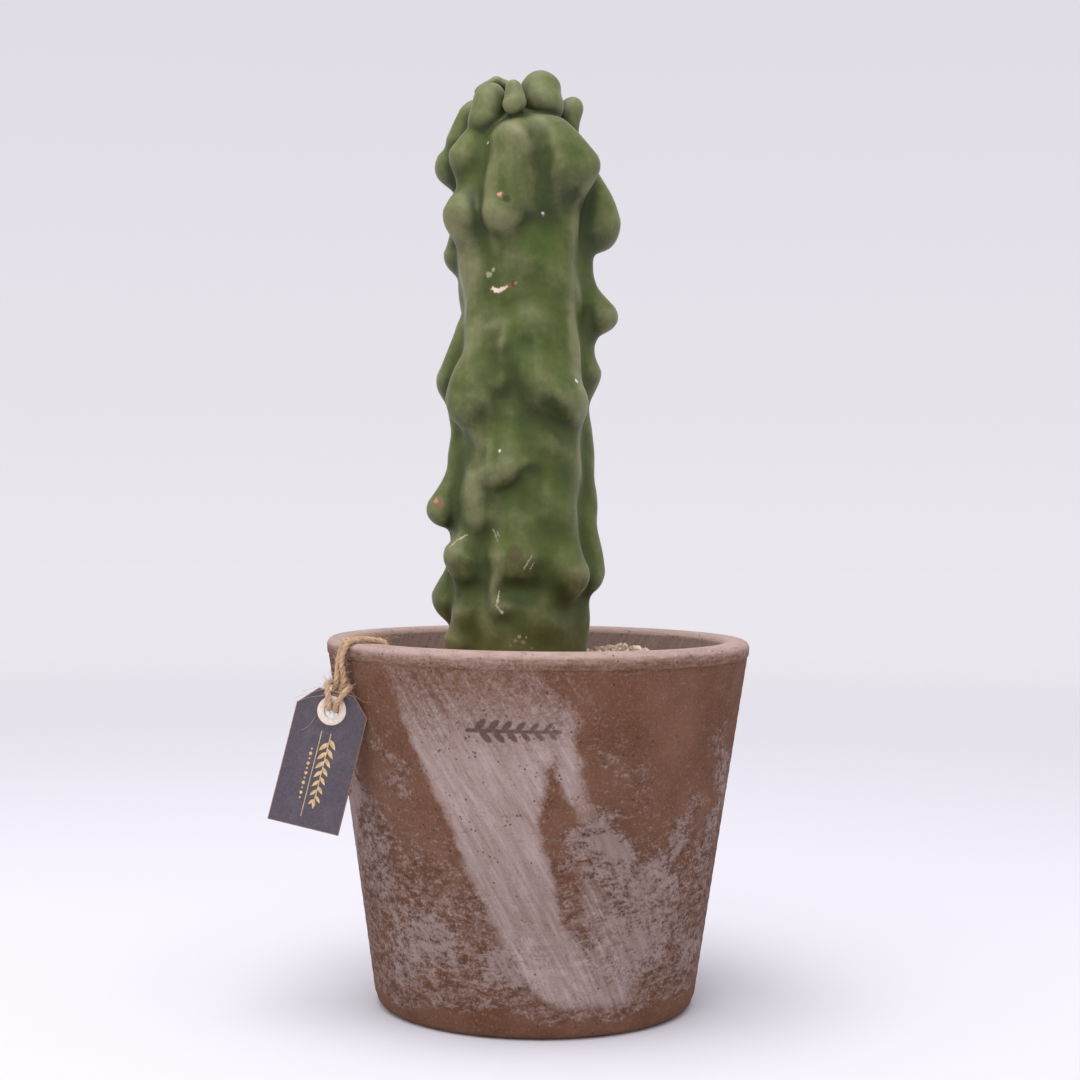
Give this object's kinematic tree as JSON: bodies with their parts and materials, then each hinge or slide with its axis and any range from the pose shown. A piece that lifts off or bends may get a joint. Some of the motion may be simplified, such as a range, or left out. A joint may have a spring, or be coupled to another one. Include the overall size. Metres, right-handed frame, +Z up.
{
  "type": "potted tall cactus",
  "caption": "Ribbed spineless column cactus with drooping noses, in a tapered clay pot with soil, gravel dressing and a swing tag tied over the rim.",
  "frame": {"origin": "middle of the pot's underside, on the surface that the pot stands on", "axes": "+Z up along the pot's axis; -Y towards the front, where the longest smooth nose of the stem faces and the tag hangs to its left (-X)"},
  "size_m": [0.209, 0.19, 0.4183],
  "materials": {
    "terracotta": "grey-brown bare clay with a chalky lime bloom",
    "soil": "dark loose potting mix",
    "gravel": "pale crushed grains",
    "cactus_skin": "waxy green skin with a powdery bloom",
    "slate_card": "matte slate-coloured print over brown board",
    "cream_paper": "matte cream",
    "jute": "hairy natural fibre"
  },
  "bodies": {
    "root": {"pot": "terracotta", "potting_soil": "soil", "top_gravel": "gravel", "cactus": "cactus_skin", "tag_card": "slate_card", "tag_patch_front": "cream_paper", "tag_patch_back": "cream_paper", "twine": "jute"}
  },
  "joints": []
}
